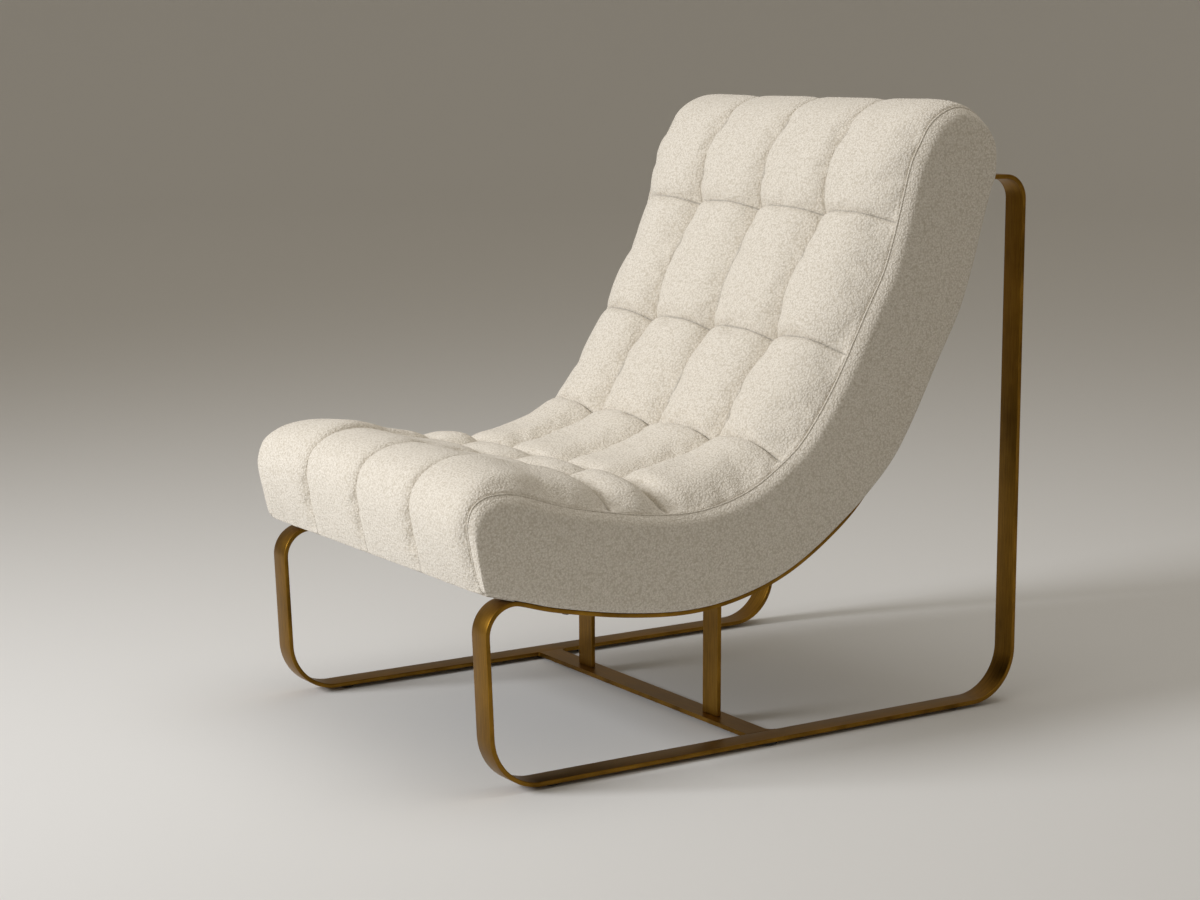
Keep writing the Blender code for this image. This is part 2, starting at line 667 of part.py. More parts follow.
def pad_rings():
    pairs = matched(hidden, 0.0)
    marks = lengths(hidden)
    lows = [partner(at, pairs) for at in stations()]
    for corner in (marks[1], marks[-3], marks[-2]):
        snap = min(range(1, len(lows) - 1), key=lambda i: abs(lows[i] - corner))
        lows[snap] = corner
    rings = []
    for at, low in zip(stations(), lows):
        top = [world((2 * c / COLUMNS - 1) * HALF, pad_point(at, c)) for c in columns]
        base = place(hidden, low)[0]
        under = [world((2 * c / COLUMNS - 1) * HALF, base) for c in columns]
        rings.append(top + under[::-1])
    return rings


loft("tufted_pad", pad_rings(), boucle, 60)


# Side panels stand outside the rails; behind the back they run on over the rail's edge
def panel_base_line():
    """The panel's lower edge: on the rail's top under the seat, past the rail up the back."""
    line = []
    for at in stops(0.0, LIP_END):
        rise = place(sling, at)[0].y - FRONT_BEND_HEIGHT
        share = min(1.0, max(0.0, (rise - PANEL_GROW_RISE) / (COVER_START_RISE - PANEL_GROW_RISE)))
        share = share * share * (3 - 2 * share) if at > SHELL_END / 2 else 0.0
        line.append(beside(sling, at, GAP + (COVER_RISE - REAR_COVER_THICKNESS - GAP) * share))
    return line


panel_base = panel_base_line()
panel_shares = (0.0, 0.07, 0.27, 0.5, 0.73, 0.93, 1.0)


def panel_rings(sign):
    pairs = matched(panel_base, welt_drop)
    rings = []
    for at in edge_places:
        way = heading(visible, at)
        top = place(visible, at)[0] - Vector((-way.y, way.x)) * (welt_drop + GAP)
        low = place(panel_base, partner(at, pairs))[0]
        inner = HALF + GAP
        outer = []
        for share in panel_shares:
            swell = math.sin(math.pi * share) ** 0.7 if 0.0 < share < 1.0 else 0.0
            ends = min(1.0, min(at, visible_length - at) / TUFT_FADE)
            thick = PANEL_THICKNESS + PANEL_CROWN * swell * ends
            outer.append(world(sign * (inner + thick), top.lerp(low, share)))
        flat = [world(sign * inner, top.lerp(low, share)) for share in panel_shares]
        rings.append(outer + flat[::-1])
    return rings


for side, sign in sides:
    loft(side + "_side_panel", panel_rings(sign), boucle, 60)

# Welts on the panels' edges, against the pad
for side, sign in sides:
    curve = bpy.data.curves.new(side + "_welt", "CURVE")
    curve.dimensions = "3D"
    curve.bevel_depth = WELT_RADIUS
    curve.bevel_resolution = 1
    curve.use_fill_caps = True
    spline = curve.splines.new("POLY")
    spline.points.add(len(edge_places) - 1)
    for k, at in enumerate(edge_places):
        way = heading(visible, at)
        point = place(visible, at)[0] - Vector((-way.y, way.x)) * WELT_RADIUS
        spline.points[k].co = (*world(sign * (HALF + GAP + WELT_RADIUS), point), 1)
    welt = bpy.data.objects.new(side + "_welt", curve)
    collection.objects.link(welt)
    welt.data.materials.append(boucle)
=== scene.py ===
"""Dressed view of the scoop lounge chair: tufted boucle cushion on a brushed brass flat-bar frame."""
import math
import bpy
import bmesh
import numpy as np
from mathutils import Matrix, Vector

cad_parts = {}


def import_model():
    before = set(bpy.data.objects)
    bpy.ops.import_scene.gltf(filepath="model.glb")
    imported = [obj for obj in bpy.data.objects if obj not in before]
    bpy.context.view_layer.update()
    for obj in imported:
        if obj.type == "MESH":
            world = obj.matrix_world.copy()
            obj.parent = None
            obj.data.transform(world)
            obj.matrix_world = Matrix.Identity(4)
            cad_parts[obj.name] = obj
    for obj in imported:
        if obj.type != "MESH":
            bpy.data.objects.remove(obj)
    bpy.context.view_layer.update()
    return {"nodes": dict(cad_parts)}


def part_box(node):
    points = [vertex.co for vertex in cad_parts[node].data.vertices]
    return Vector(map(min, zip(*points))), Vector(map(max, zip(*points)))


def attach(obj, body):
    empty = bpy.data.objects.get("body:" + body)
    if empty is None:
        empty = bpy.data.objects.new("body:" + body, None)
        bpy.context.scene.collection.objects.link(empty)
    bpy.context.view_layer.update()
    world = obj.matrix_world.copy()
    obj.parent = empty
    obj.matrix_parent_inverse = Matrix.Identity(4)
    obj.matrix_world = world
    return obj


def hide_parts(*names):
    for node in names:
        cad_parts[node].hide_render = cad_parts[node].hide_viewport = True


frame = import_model()

# Sizes of the frame, the cushion and the covers, metres, as in the solids
FRAME_WIDTH = 0.650
FRAME_DEPTH = 0.922
FRAME_HEIGHT = 0.797
FRONT_BEND_HEIGHT = 0.263
BAR_WIDTH = 0.038
BAR_THICKNESS = 0.0065
LOWER_BEND_RADIUS = 0.079
FRONT_TOP_RADIUS = 0.044
REAR_TOP_RADIUS = 0.0375
TURN_RADIUS = 0.025
FRONT_RISER_LEAN = 0.0055
RUNNER_CLEARANCE = 0.005
CUSHION_THICKNESS = 0.136
CUSHION_NOSE = 0.004
CUSHION_CROWN = 0.020
TUFT_HEIGHT = 0.038
SHELL_THICKNESS = 0.012
SHELL_TOP_RISE = 0.054
FRONT_LIP = 0.014
LIP_DROP = 0.019
COVER_THICKNESS = 0.0078
COVER_START_RISE = 0.160
DUST_CLOTH_THICKNESS = 0.0013
WELT_RADIUS = 0.0023
PANEL_THICKNESS = 0.005
PANEL_CROWN = 0.003
PANEL_GROW_RISE = 0.040
GAP = 0.0003
PAD_EASE = 0.0006
COLUMNS = 4
HALF = FRAME_WIDTH / 2
RUNNER_INNER = HALF - BAR_WIDTH
WELT_DROP = 2 * WELT_RADIUS + GAP
SHIFT = FRAME_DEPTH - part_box("left_side_loop")[1].y

# The sling line as shares of the frame's depth and height, and the cushion's nose and crest
sling_shares = ((0.1236, 0.3077), (0.2408, 0.2823), (0.3525, 0.2723), (0.4501, 0.2861),
                (0.5423, 0.3237), (0.6334, 0.3915), (0.6898, 0.4567), (0.7484, 0.5533),
                (0.8080, 0.6788), (0.8471, 0.7603), (0.8720, 0.8381), (0.8894, 0.9084),
                (0.9046, 0.9686))
nose_shares = ((-0.066, 0.217), (-0.125, 0.480), (-0.147, 0.690), (-0.088, 0.857),
               (0.060, 0.945), (0.265, 0.960), (0.470, 0.925))
crest_shares = ((-0.930, 0.180), (-0.810, 0.360), (-0.620, 0.490), (-0.420, 0.540),
                (-0.220, 0.490), (-0.050, 0.350), (0.055, 0.150))
EDGE_START_SHARE = 0.25
EDGE_POINTS = 23
SLING_STEPS = 8
EDGE_STEPS = 14

# The tufting: tables of (place from the front edge to the rear lip, share) and of one value per cross seam
seam_row_shares = (0.254, 0.322, 0.469, 0.602, 0.750)
row_depth_shares = (0.50, 0.78, 0.28, 0.22, 0.20)
row_fades = (0.050, 0.045, 0.030, 0.026, 0.026)
row_bows = (0.0, 0.0, 0.004, 0.006, 0.006)
crown_shares = ((0.0, 0.0), (0.05, -0.45), (0.085, -0.40), (0.105, 0.2), (0.125, 0.7), (0.16, 1.0),
                (0.32, 1.0), (0.45, 0.15), (0.70, 0.15), (0.85, 0.0), (1.0, 0.0))
tuft_shares = ((0.0, 0.05), (0.05, 0.33), (0.085, 0.34), (0.12, 0.29), (0.18, 0.27), (0.24, 0.42),
               (0.29, 0.52), (0.34, 0.56), (0.47, 0.90), (0.55, 1.0), (0.70, 1.0), (0.80, 0.75),
               (0.88, 0.30), (0.93, 0.12), (1.0, 0.05))
column_crease_shares = ((0.0, 0.62), (0.26, 0.62), (0.36, 0.5), (0.46, 0.25), (0.78, 0.25),
                        (0.86, 0.45), (1.0, 0.6))
column_fades = ((0.0, 0.024), (0.16, 0.028), (0.26, 0.034), (0.46, 0.024), (0.78, 0.024),
                (0.86, 0.034), (1.0, 0.034))
rim_fullness = ((0.0, 1.0), (0.28, 1.0), (0.42, 0.2), (0.50, 0.0), (0.78, 0.0), (0.88, 0.6), (1.0, 1.0))
EVENING = 0.018

# The pits, creases and sewn grooves, and the slight unevenness of the pillows with its slow waves
PIT_REACH = 0.095
PIT_POWERS = (3, 2.2)
COLUMN_CREASE_POWER = 1.6
ROW_CREASE_POWER = 1.7
SEAM_GROOVE = 0.0046
GROOVE_WIDTH = 0.0045
GROOVE_END_SHARE = 0.03
UNEVENNESS = 0.05
UNEVEN_ALONG = 43.8
UNEVEN_ACROSS = 2.1
UNEVEN_SIDEWAYS = 1.7
UNEVEN_START = 0.6

# The fall of the outer pillows to the borders, as powers of (reach towards the seam, rounding)
RIM_GENTLE = (2.4, 0.75)
RIM_FULL = (4.2, 0.52)
RIM_AT_SEAM = (2.0, 0.90)

# How finely the cushion is divided, how much its points crowd towards the seams, and how it is filled
ROW_PITCH = 0.0075
COLUMN_PITCH = 0.055
CROWDING = 0.70
LOWER_POINTS = 120
START_FULLNESS = 0.90
FILLING_CAP = 0.009
LEAST_FILLING = 0.15
SEAM_SHARPNESS = 0.8

# The borders' rolled edge and the piping, metres, and the roll as shares of the border's width
SEAM_INSET = 0.008
BORDER_TOP_DROP = 0.0015
BORDER_EDGE = 0.0012
BORDER_ROLL = 0.12
BORDER_TUCK = 0.10
BORDER_SWELL_POWER = 0.7
BORDER_END_EASE = 0.045
BORDER_BASE_POINTS = 240
BORDER_ROWS = 230
BORDER_COLUMNS = 29
PIPING_RADIUS = WELT_RADIUS * 0.60
PIPING_DROP = WELT_RADIUS * 0.9
PIPING_OUT = WELT_RADIUS * 0.7
PIPING_UNEVENNESS = 0.05
PIPING_TWIST = 900.0
PIPING_ROWS = 520
PIPING_SIDES = 12

# The thin covers and their places along the sling, metres, with their points along and across it
COVER_SWELL = 0.004
COVER_EDGE_EASE = 0.030
COVER_ROWS = (60, 8, 16)
COVER_COLUMNS = (8, 60, 9)
NOTCH_LENGTH = 0.028
WRAP_START_BEFORE_LIP = 0.008
WRAP_END_BEFORE_RAIL = 0.012
WRAP_POINTS = (14, 60)
CLOTH_EDGE_EASE = 0.001
CLOTH_POINTS = (74, 50)

# The frame's eased edges and the middle feet, metres
BAR_EDGE_RADIUS = 0.0010
BAR_SHARP_ANGLE = math.radians(40)
RAIL_POINTS = 150
MIDDLE_GLIDE_RADIUS = 0.016
GLIDE_EDGE = 0.0008
GLIDE_SIDES = 48
GLIDE_SHARP_ANGLE = math.radians(30)


# Lines in the side plane, as (depth, height) points from the front riser's face
def spline(points, steps):
    p = np.array(points, float)
    ends = np.vstack([2 * p[0] - p[1], p, 2 * p[-1] - p[-2]])
    t = (np.arange(steps) / steps)[:, None]
    runs = []
    for a, b, c, d in zip(ends, ends[1:], ends[2:], ends[3:]):
        runs.append(0.5 * (2 * b + (c - a) * t + (2 * a - 5 * b + 4 * c - d) * t ** 2
                           + (3 * b - a - 3 * c + d) * t ** 3))
    return np.vstack(runs + [p[-1:]])


def heading(degrees):
    return np.array([math.cos(math.radians(degrees)), math.sin(math.radians(degrees))])


def arc(centre, radius, start, end, steps):
    turn = np.radians(np.linspace(start, end, steps + 1))
    return np.array(centre) + radius * np.stack([np.cos(turn), np.sin(turn)], -1)


def unit(v):
    return v / np.linalg.norm(v, axis=-1, keepdims=True)


def to_the_left(way):
    return np.stack([-way[..., 1], way[..., 0]], -1)


class Line:
    """A line in the side plane, measured along its length and run on straight past its ends."""

    def __init__(self, points):
        self.points = np.array(points, float)
        steps = np.linalg.norm(np.diff(self.points, axis=0), axis=1)
        self.marks = np.concatenate([[0.0], np.cumsum(steps)])
        self.length = self.marks[-1]

    def at(self, d):
        d = np.asarray(d, float)
        inner = np.clip(d, 0.0, self.length)
        p = np.stack([np.interp(inner, self.marks, self.points[:, k]) for k in (0, 1)], -1)
        first = unit(self.points[1] - self.points[0])
        last = unit(self.points[-1] - self.points[-2])
        return p + np.minimum(d, 0)[..., None] * first + np.maximum(d - self.length, 0)[..., None] * last

    def way(self, d):
        """The line's direction, taken over a short stretch to both sides."""
        d = np.asarray(d, float)
        return unit(self.at(d + BAR_THICKNESS) - self.at(d - BAR_THICKNESS))

    def beside(self, d, rise):
        return self.at(d) + to_the_left(self.way(d)) * np.asarray(rise, float)[..., None]

    def nearest(self, point):
        return self.marks[np.argmin(np.linalg.norm(self.points - point, axis=1))]


def world(x, point):
    point = np.asarray(point, float)
    x = np.broadcast_to(x, point.shape[:-1])
    return np.stack([x, point[..., 0] - SHIFT, point[..., 1]], -1)


bend_centre = np.array([FRONT_TOP_RADIUS, FRONT_BEND_HEIGHT - FRONT_TOP_RADIUS])
shared = np.array([(a * FRAME_DEPTH, b * FRAME_HEIGHT) for a, b in sling_shares])
first = shared[0]
slope = math.degrees(math.atan2(bend_centre[1] - first[1], first[0] - bend_centre[0]))
reach = np.linalg.norm(first - bend_centre)
leave = math.degrees(math.acos(FRONT_TOP_RADIUS / reach)) - slope
rail_front = bend_centre + FRONT_TOP_RADIUS * heading(leave)
lead = unit(rail_front - first)
nose = rail_front + lead * ((rail_front[0] + CUSHION_NOSE) / -lead[0])
shell_top = shared[-1] + unit(shared[-1] - shared[-2]) * SHELL_TOP_RISE
sling = Line(spline([nose, rail_front, *shared, shell_top], SLING_STEPS))
RAIL_START = float(np.linalg.norm(rail_front - nose))
turn_height = FRAME_HEIGHT - TURN_RADIUS
RAIL_END = float(sling.marks[sling.points[:, 1] < turn_height].max())
climb = sling.way(RAIL_END)
turn_start = math.degrees(math.atan2(climb[0], -climb[1]))
while sling.at(RAIL_END)[1] < turn_height + TURN_RADIUS * heading(turn_start)[1]:
    RAIL_END += GAP
turn_centre = sling.at(RAIL_END) - TURN_RADIUS * heading(turn_start)
SHELL_END = sling.length
LIP_END = SHELL_END - LIP_DROP
COVER_RISE = -(BAR_THICKNESS + 2 * GAP)
edge_first = RAIL_START + np.linalg.norm(first - rail_front) * EDGE_START_SHARE
edge_middle = [sling.beside(d, CUSHION_THICKNESS) for d in np.linspace(edge_first, RAIL_END, EDGE_POINTS)]
edge_points = [nose] + [nose + np.array(s) * CUSHION_THICKNESS for s in nose_shares] + edge_middle
edge_points += [shell_top + np.array(s) * CUSHION_THICKNESS for s in crest_shares]
edge_points += [sling.beside(LIP_END, COVER_RISE - COVER_THICKNESS)]
visible = Line(spline(edge_points, EDGE_STEPS))


def share(table, where):
    """Reads a table of (place, share) pairs, evened out over a short stretch."""
    places, values = zip(*table)
    spread = np.linspace(-EVENING, EVENING, 7)
    return sum(np.interp(where + s, places, values) for s in spread) / len(spread)


# Mesh builders
def piece(name, verts, faces, skins):
    mesh = bpy.data.meshes.new(name)
    mesh.from_pydata([tuple(v) for v in verts], [], faces)
    obj = bpy.data.objects.new(name, mesh)
    bpy.context.scene.collection.objects.link(obj)
    bm = bmesh.new()
    bm.from_mesh(mesh)
    bmesh.ops.recalc_face_normals(bm, faces=bm.faces)
    bm.to_mesh(mesh)
    bm.free()
    mesh.shade_smooth()
    for skin in skins:
        mesh.materials.append(skin)
    return obj


def ring_faces(rows, count, closed_rows=False, caps=True):
    """Faces between rings of a given count of points, closed round and, if asked, end to end."""
    faces = []
    for r in range(rows if closed_rows else rows - 1):
        a, b = r * count, ((r + 1) % rows) * count
        for i in range(count):
            j = (i + 1) % count
            faces.append((a + i, a + j, b + j, b + i))
    if caps and not closed_rows:
        for start in (0, (rows - 1) * count):
            for i in range(count // 2 - 1):
                faces.append((start + i, start + i + 1, start + count - 2 - i, start + count - 1 - i))
    return faces


def apply_modifiers(obj):
    bpy.context.view_layer.update()
    made = bpy.data.meshes.new_from_object(obj.evaluated_get(bpy.context.evaluated_depsgraph_get()))
    obj.modifiers.clear()
    obj.data = made
    return obj


def subdivide(obj, levels=1):
    step = obj.modifiers.new("finer", "SUBSURF")
    step.levels = levels
    step.render_levels = levels
    return apply_modifiers(obj)


# Materials
class Wire:
    """A socket whose arithmetic adds Math nodes."""

    def __init__(self, tree, socket):
        self.tree = tree
        self.socket = socket

    def math(self, kind, other, flip=False):
        node = self.tree.nodes.new("ShaderNodeMath")
        node.operation = kind
        for place, value in zip(node.inputs, (other, self) if flip else (self, other)):
            join(self.tree, place, value)
        return Wire(self.tree, node.outputs[0])

    def __add__(self, other):
        return self.math("ADD", other)

    def __sub__(self, other):
        return self.math("SUBTRACT", other)

    def __rsub__(self, other):
        return self.math("SUBTRACT", other, True)

    def __mul__(self, other):
        return self.math("MULTIPLY", other)

    def __pow__(self, other):
        return self.math("POWER", other)

    __radd__ = __add__
    __rmul__ = __mul__


def join(tree, place, value):
    if isinstance(value, Wire):
        tree.links.new(value.socket, place)
    else:
        place.default_value = value


class Finish:
    """A material whose nodes are added one by one to its shader."""

    def __init__(self, name, colour, roughness, metallic=0.0, **sockets):
        self.material = bpy.data.materials.new(name)
        self.material.use_nodes = True
        self.material.diffuse_color = (*colour, 1.0)
        self.tree = self.material.node_tree
        self.shader = self.tree.nodes["Principled BSDF"]
        self.set("Base Color", (*colour, 1.0))
        self.set("Roughness", roughness)
        self.set("Metallic", metallic)
        for socket, value in sockets.items():
            self.set(socket.replace("_", " "), value)
        self.place = self.node("TexCoord", "Object")

    def set(self, socket, value):
        join(self.tree, self.shader.inputs[socket], value)

    def node(self, kind, output, settings=None, **sockets):
        """Adds a node; a list gives the values of several sockets that share one name."""
        node = self.tree.nodes.new("ShaderNode" + kind)
        for key, value in (settings or {}).items():
            setattr(node, key, value)
        for key, value in sockets.items():
            name = key.replace("_", " ")
            places = [i for i in node.inputs if i.name == name and i.enabled]
            for place, one in zip(places, value if isinstance(value, list) else [value]):
                join(self.tree, place, one)
        return Wire(self.tree, [o for o in node.outputs if o.name == output and o.enabled][0])

    def noise(self, where, scale, detail, roughness=0.5, output="Fac"):
        return self.node("TexNoise", output, Vector=where, Scale=scale, Detail=detail, Roughness=roughness)

    def stretched(self, scale):
        return self.node("Mapping", "Vector", Vector=self.place, Scale=tuple(scale))

    def between(self, value, low, high):
        """0 at the low value, 1 at the high one."""
        return self.node("MapRange", "Result", {"clamp": True}, Value=value, From_Min=low, From_Max=high,
                         To_Min=0.0, To_Max=1.0)

    def mix(self, amount, low, high):
        tones = [v if isinstance(v, Wire) else (*v, 1.0) for v in (low, high)]
        return self.node("Mix", "Result", {"data_type": "RGBA"}, Factor=amount, A=tones[0], B=tones[1])

    def bump(self, height, strength, distance):
        self.set("Normal", self.node("Bump", "Normal", Height=height, Strength=strength, Distance=distance))


CREAM = (0.845, 0.800, 0.722)
PIPING_CREAM = tuple(c * 0.93 for c in CREAM)
CREAM_SHADE = (0.595, 0.545, 0.460)
# Painted shade along the seam creases: its colour, and how strongly it darkens the pile
SEAM_PAINTED_SHADE = tuple(c * 0.35 for c in CREAM_SHADE)
SEAM_PAINTED_SHADE_STRENGTH = 0.6
LOOPS_PER_METRE = 315.0
KNOTS_PER_METRE = 620.0
LOOP_DRIFT = 0.0014
BRASS = (0.345, 0.182, 0.024)
BRASS_DARK = (0.140, 0.068, 0.008)
SCRATCHES_PER_METRE = 2600.0
GROOVES_PER_METRE = 900.0


def boucle_finish(name, cream, shade):
    """Looped pile: knotted loops about three millimetres across over a darker ground, with painted shade
    darkening the seam lines.
    """
    made = Finish(name, cream, 0.95, Sheen_Weight=0.2, Sheen_Roughness=0.6, Specular_IOR_Level=0.12)
    drift = made.noise(made.place, 300.0, 1.0, output="Color")
    shaken = made.node("VectorMath", "Vector", {"operation": "MULTIPLY_ADD"},
                       Vector=[drift, (LOOP_DRIFT, LOOP_DRIFT, LOOP_DRIFT), made.place])
    loops = made.node("TexVoronoi", "Distance", {"feature": "F1"}, Vector=shaken, Scale=LOOPS_PER_METRE,
                      Randomness=0.9)
    knots = made.node("TexVoronoi", "Distance", {"feature": "F1"}, Vector=shaken, Scale=KNOTS_PER_METRE,
                      Randomness=1.0)
    fibres = made.noise(shaken, 900.0, 2.0, 0.6)
    made.bump((1 - loops) + (1 - knots) * 0.35 + fibres * 0.25, strength=1.0, distance=0.0010)
    depth = made.between(loops * 0.75 + knots * 0.30 - fibres * 0.25, 0.10, 0.65)
    # Painted shade: the pile is darkened along the seam lines, where the creases fall in shade
    seam_painted_shade = made.node("Attribute", "Fac", {"attribute_name": "seam_line"})
    pile = made.mix(depth, cream, shade)
    made.set("Base Color", made.mix(seam_painted_shade ** 2.0 * SEAM_PAINTED_SHADE_STRENGTH, pile, SEAM_PAINTED_SHADE))
    return made.material


def brass_finish(name, across):
    """Brushed brass: fine scratches that run at right angles to one axis, over slow tarnish."""
    made = Finish(name, BRASS, 0.32, 1.0)
    fine, coarse = [14.0, 14.0, 14.0], [30.0, 30.0, 30.0]
    fine["xyz".index(across)] = SCRATCHES_PER_METRE
    coarse["xyz".index(across)] = GROOVES_PER_METRE
    scratches = made.noise(made.stretched(fine), 1.0, 4.0, 0.7)
    grooves = made.noise(made.stretched(coarse), 1.0, 2.0)
    tarnish = made.noise(made.place, 9.0, 5.0, 0.6)
    lines = scratches * 0.6 + grooves * 0.4
    amount = made.between(lines * 0.7 + tarnish * 0.3, 0.38, 0.62)
    made.set("Base Color", made.mix(amount, BRASS_DARK, BRASS))
    made.set("Roughness", 0.26 + lines * 0.16 + tarnish * 0.10)
    made.bump(lines, strength=0.12, distance=0.0004)
    return made.material


def cambric_finish():
    made = Finish("black_cambric_cloth", (0.022, 0.021, 0.020), 0.9)
    warp, weft = [made.node("TexWave", "Fac", {"bands_direction": way}, Vector=made.place, Scale=260.0,
                            Distortion=1.2) for way in "XY"]
    weave = warp * 0.5 + weft * 0.5
    made.bump(weave, strength=0.3, distance=0.0003)
    made.set("Base Color", made.mix(weave, (0.014, 0.013, 0.012), (0.034, 0.032, 0.030)))
    return made.material


def plywood_finish():
    made = Finish("bent_plywood_face", (0.52, 0.38, 0.22), 0.55)
    rings = made.noise(made.stretched((90.0, 7.0, 7.0)), 1.0, 6.0, 0.6)
    made.set("Base Color", made.mix(made.between(rings, 0.35, 0.65), (0.40, 0.27, 0.14), (0.60, 0.45, 0.28)))
    made.bump(rings, strength=0.15, distance=0.0004)
    return made.material


def nylon_finish():
    made = Finish("black_glide_nylon", (0.020, 0.020, 0.020), 0.45)
    pores = made.noise(made.place, 900.0, 2.0)
    made.set("Roughness", 0.38 + pores * 0.2)
    made.bump(pores, strength=0.15, distance=0.0002)
    return made.material


def bolt_finish():
    made = Finish("dark_bolt_steel", (0.16, 0.155, 0.15), 0.35, 1.0)
    marks = made.noise(made.place, 700.0, 3.0)
    made.set("Roughness", 0.28 + marks * 0.25)
    made.bump(marks, strength=0.1, distance=0.0002)
    return made.material


boucle = boucle_finish("cream_boucle", CREAM, CREAM_SHADE)
piping = boucle_finish("cream_boucle_piping", PIPING_CREAM, CREAM_SHADE)
brass_long = brass_finish("brushed_brass_lengthwise", "x")
brass_cross = brass_finish("brushed_brass_crosswise", "y")
cambric = cambric_finish()
plywood = plywood_finish()
nylon = nylon_finish()
bolt_steel = bolt_finish()


# Tufted cushion
def seam_stations(seams, pitch):
    """Places along a run, with one on every seam and closer ones beside it."""
    places = []
    for a, b in zip(seams, seams[1:]):
        count = max(4, round((b - a) / pitch))
        k = np.arange(count) / count
        eased = (1 - CROWDING) * k + CROWDING * (0.5 - 0.5 * np.cos(np.pi * k))
        places += list(a + (b - a) * eased)
    return np.array(places + [seams[-1]])


def nearness(distance, reach):
    """1 at a place, falling evenly to 0 at its reach."""
    return np.clip(1 - distance / reach, 0, 1)


def relief(columns, stations, seams, start):
    """The tufts' height share: pits where the seams cross, with creases between them."""
    where = stations / visible.length
    sideways = np.abs(2 * (columns - np.floor(columns)) - 1)
    sideways = np.where(np.isclose(columns, COLUMNS), 1.0, sideways)[None, :]
    at_row = nearness(np.abs(stations[:, None] - seams[None, :]).min(axis=1), PIT_REACH)[:, None]
    pits = sideways ** PIT_POWERS[0] * at_row ** PIT_POWERS[1]
    at_column = nearness((1 - sideways) * HALF / COLUMNS, share(column_fades, where)[:, None])
    crease = share(column_crease_shares, where)[:, None] * at_column ** COLUMN_CREASE_POWER
    rim = nearness(np.minimum(columns, COLUMNS - columns), 0.5)[None, :]
    full = share(rim_fullness, where)[:, None]
    flank, rounding = [(gentle + (most - gentle) * full) * (1 - at_row ** 2) + seam * at_row ** 2
                       for gentle, most, seam in zip(RIM_GENTLE, RIM_FULL, RIM_AT_SEAM)]
    border = (1 - rim ** flank) ** rounding
    return (1 - pits) * (1 - crease) * row_swell(stations, seams, start)[:, None] * border


def row_swell(at, seams, start):
    """The tufts' height beside the cross seams, each with its own depth; less away from them at the start."""
    left = np.full(len(at), start)
    for seam, depth, fade in zip(seams, row_depth_shares, row_fades):
        near = nearness(np.abs(at - seam), fade)
        left = np.minimum(left, start + (1 - start) * near - depth * near ** ROW_CREASE_POWER)
    return left


def cushion_lower():
    """The cushion's hidden underside: round the front lip, along the shell and round the rear lip."""
    over = SHELL_THICKNESS + 2 * GAP + PAD_EASE
    run = np.linspace(FRONT_LIP + SHELL_THICKNESS, SHELL_END + GAP, LOWER_POINTS)
    points = [sling.beside(FRONT_LIP - GAP, GAP), sling.beside(FRONT_LIP - GAP, over)]
    points += list(sling.beside(run, np.full(len(run), over)))
    points += [sling.beside(SHELL_END + GAP, 0.0), sling.beside(LIP_END, 0.0)]
    return Line(points)


def matched(line, inset):
    """Distances on the visible line and on a lower line that belong together."""
    seen, low = [inset], [inset]
    for at in (RAIL_START + CUSHION_THICKNESS / 2, RAIL_END - CUSHION_THICKNESS / 2):
        seen.append(visible.nearest(sling.beside(at, CUSHION_THICKNESS)))
        low.append(line.nearest(sling.beside(at, 0.0)))
    return seen + [visible.length - inset], low + [line.length - inset]


def top_rise(stations, columns, seams, start):
    """How far the cushion's top stands out from its edge line: crown, tufts and sewn grooves."""
    where = stations / visible.length
    x = 2 * columns / COLUMNS - 1
    crown = CUSHION_CROWN * share(crown_shares, where)
    tuft = TUFT_HEIGHT * share(tuft_shares, where)
    level = np.clip((1 - np.abs(x)) * COLUMNS / 2, 0, 1)
    outer = (level < 1) * np.maximum(crown, 0)[:, None] / 2
    ripple = np.sin(UNEVEN_ALONG * where[:, None] + UNEVEN_ACROSS * columns[None, :])
    ripple = ripple * np.sin(UNEVEN_SIDEWAYS * columns[None, :] + UNEVEN_START)
    tufts = (tuft[:, None] + outer) * relief(columns, stations, seams, start) * (1 + UNEVENNESS * ripple)
    by_row = np.abs(stations[:, None] - seams[None, :]).min(axis=1)[:, None]
    by_column = (np.abs(columns - np.round(columns)) * 2 * HALF / COLUMNS)[None, :]
    groove = nearness(np.minimum(by_row, by_column), GROOVE_WIDTH)
    begun = np.clip(np.minimum(where, 1 - where) / GROOVE_END_SHARE, 0, 1)
    on_top = begun[:, None] * (np.abs(x) < 1)[None, :]
    return crown[:, None] * level[None, :] + tufts - SEAM_GROOVE * groove * on_top


def top_bow(stations, columns, seams):
    """How far the cross seams arch along the cushion between the column seams."""
    bow = np.zeros((len(stations), len(columns)))
    for seam, most in zip(seams, row_bows):
        near = nearness(np.abs(stations - seam), PIT_REACH) ** 2
        bow += most * near[:, None] * (1 - (2 * (columns % 1) - 1) ** 2)[None, :]
    return bow


def cushion_rows(start):
    """Rings of points round the cushion, each across the top and back across the underside."""
    seams = np.array(seam_row_shares) * visible.length
    stations = seam_stations([0.0, *seams, visible.length], ROW_PITCH)
    columns = seam_stations([float(c) for c in range(COLUMNS + 1)], COLUMN_PITCH)
    rise = top_rise(stations, columns, seams, start)
    bow = top_bow(stations, columns, seams)
    way = visible.way(stations)[:, None, :]
    top = visible.at(stations)[:, None, :] + to_the_left(way) * rise[:, :, None] + way * bow[:, :, None]
    lower = cushion_lower()
    seen, low = matched(lower, 0.0)
    low_at = np.interp(stations, seen, low)
    for corner in (lower.marks[1], lower.marks[-3], lower.marks[-2]):
        low_at[1 + np.argmin(np.abs(low_at[1:-1] - corner))] = corner
    under = np.repeat(lower.at(low_at)[:, None, :], len(columns), axis=1)
    wide = np.broadcast_to(2 * columns / COLUMNS - 1, rise.shape)
    shown = world(wide * (HALF - SEAM_INSET), top)
    hidden = world(wide[:, ::-1] * HALF, under)
    return np.concatenate([shown, hidden], axis=1), stations, columns


